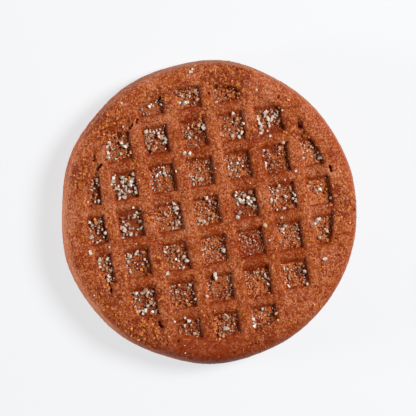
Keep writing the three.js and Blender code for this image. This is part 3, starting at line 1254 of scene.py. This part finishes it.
def sugar_tree(crystals, count, material):
    """Scatters large and fine sugar grains over the pocket floors, and lone ones on the crust."""
    write = GeometryWriter("Sugar scatter")
    surface = write.input("Geometry", "NodeSocketGeometry")
    size = write.inputs_of(SugarSizes)
    lumps = lump_input(write, crystals)
    where = write.position()
    floor = write.read("floor")
    fine = write.read("fine")
    gathered = write.noise(where, 2.6 * MM, size.seed + 1.0) + write.read("sugary") * 0.35
    cluster = write.step(gathered, -0.12, 0.08)
    spread = floor * 0.85 + write.read("pocket") * 0.15
    spread = spread * write.step(write.read("far"), -0.8, 0.3, 0.55, 1.0)
    amount = spread * (1.0 - 0.85 * fine) * (0.05 + 0.95 * cluster)
    top = write.step(write.read("way"), 0.8, 0.4)
    amount = write.math("MAXIMUM", amount + 0.0015 * top, write.read("lone"))
    large = scattered(
        write,
        surface,
        lumps,
        count,
        spacing=size.spacing,
        density=size.density,
        factor=amount,
        sizes=(size.smallest, size.largest, size.sunk),
        rarity=1.5,
        shades=(0.0, 0.85),
        seed=size.seed,
    )
    small = scattered(
        write,
        surface,
        lumps,
        count,
        spacing=size.fine_spacing,
        density=size.fine_density,
        factor=spread * (0.18 + 0.82 * fine) + 0.006 * top,
        sizes=(size.fine_smallest, size.fine_largest, size.sunk),
        rarity=1.3,
        shades=(0.15, 1.0),
        seed=size.seed + 20.0,
    )
    return write.finished(material, large, small)


def sugar_material(sizes):
    """Coarse sugar: cloudy see-through crystals, some clear and some tinted by the dough."""
    write = ShaderWriter("coarse_sugar")
    shade = write.read("shade")
    cloudy = write.noise(write.where, 0.5 * MM, seed=11.0)
    stained = write.step(shade + cloudy * 0.25, 0.25, 0.85)
    write.set(
        base_color=write.blend(stained, sizes.clear, sizes.tinted),
        roughness=0.3,
        ior=1.5,
        transmission_weight=0.2,
        normal=write.bump(cloudy * (0.03 * MM)),
    )
    return write.material


class COOKIE_OT_sugar(bpy.types.Operator):
    """Scatter coarse sugar over the pocket floors"""

    bl_idname = "cookie.sugar"
    bl_label = "Sugar"
    bl_options = {"REGISTER", "UNDO"}

    CRYSTALS = 7

    def execute(self, context):
        sizes = context.scene.cookie_sugar
        crystals = lump_collection(
            "crystal", self.CRYSTALS, corners=15, flatness=(0.7, 0.95), boxy=0.55, seed=sizes.seed
        )
        sugar = on_dough("sugar_grains")
        tree = sugar_tree(crystals, self.CRYSTALS, sugar_material(sizes))
        add_nodes(sugar, tree, sizes)
        baked(sugar)
        remove_collection(crystals)
        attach(sugar, BODY)
        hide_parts(NODE)
        return {"FINISHED"}


def crumb_tree(lumps, count, material):
    """Scatters fine crumbs over the crust, thick in patches, and a few big ones in the pockets."""
    write = GeometryWriter("Crumb scatter")
    surface = write.input("Geometry", "NodeSocketGeometry")
    size = write.inputs_of(CrumbSizes)
    shapes = lump_input(write, lumps)
    where = write.position()
    crust = write.step(write.read("way"), 0.8, 0.45)
    clump = write.step(write.noise(where, 1.6 * MM, size.seed + 1.0, detail=2.0), -0.35, 0.45)
    patch = write.read("patch") * clump + size.thin * (0.25 + 1.25 * clump)
    fine = scattered(
        write,
        surface,
        shapes,
        count,
        spacing=size.spacing,
        density=size.density,
        factor=patch * crust * (1.0 - 0.6 * write.read("pocket")),
        sizes=(size.smallest, size.largest, size.sunk),
        rarity=2.2,
        shades=(0.0, 1.0),
        seed=size.seed,
    )
    floor = write.read("floor")
    big = scattered(
        write,
        surface,
        shapes,
        count,
        spacing=size.big * 0.8,
        density=size.big_density,
        factor=floor * 0.8 + 0.6 * write.read("patch") * clump * crust,
        sizes=(size.largest, size.big, size.sunk),
        rarity=1.5,
        shades=(0.0, 1.0),
        seed=size.seed + 20.0,
    )
    return write.finished(material, fine, big)


def crumb_material(sizes):
    """Dry crumbs, from pale orange to toasted brown."""
    write = ShaderWriter("dry_crumb")
    shade = write.read("shade")
    rough = write.noise(write.where, 0.2 * MM, seed=21.0)
    tint = write.blend(write.step(shade + rough * 0.2, 0.15, 1.1), sizes.toasted, sizes.pale)
    write.set(
        base_color=tint,
        roughness=0.85,
        diffuse_roughness=0.6,
        specular_ior_level=0.3,
        normal=write.bump(rough * (0.03 * MM)),
    )
    return write.material


class COOKIE_OT_crumbs(bpy.types.Operator):
    """Scatter dry crumbs over the crust and in the pockets"""

    bl_idname = "cookie.crumbs"
    bl_label = "Crumbs"
    bl_options = {"REGISTER", "UNDO"}

    SHAPES = 5

    def execute(self, context):
        sizes = context.scene.cookie_crumbs
        shapes = lump_collection(
            "crumb_shape", self.SHAPES, corners=9, flatness=(0.55, 0.95), boxy=0.15, seed=sizes.seed
        )
        crumbs = on_dough("dry_crumbs")
        tree = crumb_tree(shapes, self.SHAPES, crumb_material(sizes))
        add_nodes(crumbs, tree, sizes)
        baked(crumbs)
        remove_collection(shapes)
        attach(crumbs, BODY)
        return {"FINISHED"}


# ----------------------------------------------------------------------- stage


def aimed(piece, place_at, target, up):
    """Puts a camera or light at a place, looking at the target with a side up."""
    back = (place_at - target).normalized()
    right = up.cross(back).normalized()
    turned = Matrix((right, back.cross(right), back)).transposed().to_4x4()
    piece.matrix_world = Matrix.Translation(place_at) @ turned


def stage_floor(settings):
    """A plain pale floor of cloudy glass with light behind it, so that shadows on it stay faint."""
    half = settings.floor_size / 2
    mesh = bpy.data.meshes.new("floor")
    low = -settings.floor_gap
    corners = [(-half, -half, low), (half, -half, low), (half, half, low), (-half, half, low)]
    mesh.from_pydata(corners, [], [(0, 1, 2, 3)])
    floor = linked("floor", mesh)
    write = ShaderWriter("pale_floor")
    write.set(
        base_color=settings.floor_colour,
        roughness=0.9,
        specular_ior_level=0.1,
        emission_color=settings.glow_colour,
        emission_strength=settings.glow,
    )
    mesh.materials.append(write.material)


def stage_air(scene, settings):
    """Soft light from pale walls all round, and less from overhead."""
    scene.world = bpy.data.worlds.new("pale_air")
    scene.world.use_nodes = True
    write = TreeWriter(scene.world.node_tree)
    _, far, height = write.parts(write.result("ShaderNodeTexCoord", output="Generated"))
    air = write.blend(write.step(height, 0.1, 0.55), settings.air_low, settings.air_high)
    air = write.scaled(air, write.step(far, -0.8, 0.2, settings.air_near, 1.0))
    air = write.scaled(air, write.step(far, 0.3, 0.9, 1.0, settings.air_far))
    write.fill(scene.world.node_tree.nodes["Background"].inputs["Color"], air)


def stage_light(scene, settings, name):
    """A large soft light that looks at the cookie: the key light or the fill light."""
    light = bpy.data.lights.new(f"{name}_light", "AREA")
    light.shape = "DISK"
    light.size = getattr(settings, f"{name}_size")
    light.energy = getattr(settings, f"{name}_power")
    lamp = bpy.data.objects.new(light.name, light)
    scene.collection.objects.link(lamp)
    azimuth = getattr(settings, f"{name}_azimuth")
    height = getattr(settings, f"{name}_height")
    level = math.cos(height)
    direction = Vector((level * math.cos(azimuth), level * math.sin(azimuth), math.sin(height)))
    aimed(lamp, direction * settings.light_distance, Vector(), Vector((0.0, 0.0, 1.0)))
    lamp.visible_camera = False


def stage_camera(scene, settings):
    """The camera, which looks down on the cookie."""
    camera = bpy.data.cameras.new("camera")
    camera.sensor_width = 36.0
    camera.lens = camera.sensor_width * settings.view_distance / settings.view_width
    camera.clip_start = 0.01
    camera.clip_end = 20.0
    eye = bpy.data.objects.new("camera", camera)
    scene.collection.objects.link(eye)
    middle = Vector(settings.aim) + Vector((0.0, 0.0, CAD_HIGH.z * AIM_SHARE))
    direction = Vector((-math.tan(settings.lean_left), math.tan(settings.lean_up), 1.0))
    eye_place = middle + direction.normalized() * settings.view_distance
    aimed(eye, eye_place, middle, Vector((0.0, 1.0, 0.0)))
    scene.camera = eye


class COOKIE_OT_stage(bpy.types.Operator):
    """Set the floor, the lights and the camera"""

    bl_idname = "cookie.stage"
    bl_label = "Stage"
    bl_options = {"REGISTER", "UNDO"}

    def execute(self, context):
        scene = context.scene
        settings = scene.cookie_stage
        stage_floor(settings)
        stage_air(scene, settings)
        for name in ("key", "fill"):
            stage_light(scene, settings, name)
        stage_camera(scene, settings)
        scene.view_settings.view_transform = "Standard"
        return {"FINISHED"}


# ---------------------------------------------------------------------- add-on


class COOKIE_PT_pieces(bpy.types.Panel):
    """Lists the cookie's pieces, with the sizes and colours of each"""

    bl_idname = "COOKIE_PT_pieces"
    bl_label = "Chocolate Cookie"
    bl_space_type = "VIEW_3D"
    bl_region_type = "UI"
    bl_category = "Cookie"

    ROWS = [
        ("cookie.dough", ["cookie_blank", "cookie_press", "cookie_crust", "cookie_dough"]),
        ("cookie.sugar", ["cookie_sugar"]),
        ("cookie.crumbs", ["cookie_crumbs"]),
        ("cookie.stage", ["cookie_stage"]),
    ]

    def draw(self, context):
        for operator, groups in self.ROWS:
            box = self.layout.box()
            box.operator(operator)
            for name in groups:
                group = getattr(context.scene, name)
                for key in group.__annotations__:
                    box.prop(group, key)


CLASSES = [
    *GROUPS.values(),
    COOKIE_OT_dough,
    COOKIE_OT_sugar,
    COOKIE_OT_crumbs,
    COOKIE_OT_stage,
    COOKIE_PT_pieces,
]


def register():
    """Adds the property groups, the operators and the panel."""
    for item in CLASSES:
        bpy.utils.register_class(item)
    for name, group in GROUPS.items():
        setattr(bpy.types.Scene, name, PointerProperty(type=group))


def unregister():
    """Takes them away again."""
    for name in GROUPS:
        delattr(bpy.types.Scene, name)
    for item in reversed(CLASSES):
        bpy.utils.unregister_class(item)


def main():
    """Makes the whole cookie."""
    register()
    bpy.ops.cookie.dough()
    bpy.ops.cookie.sugar()
    bpy.ops.cookie.crumbs()
    bpy.ops.cookie.stage()


if __name__ == "__main__":
    main()
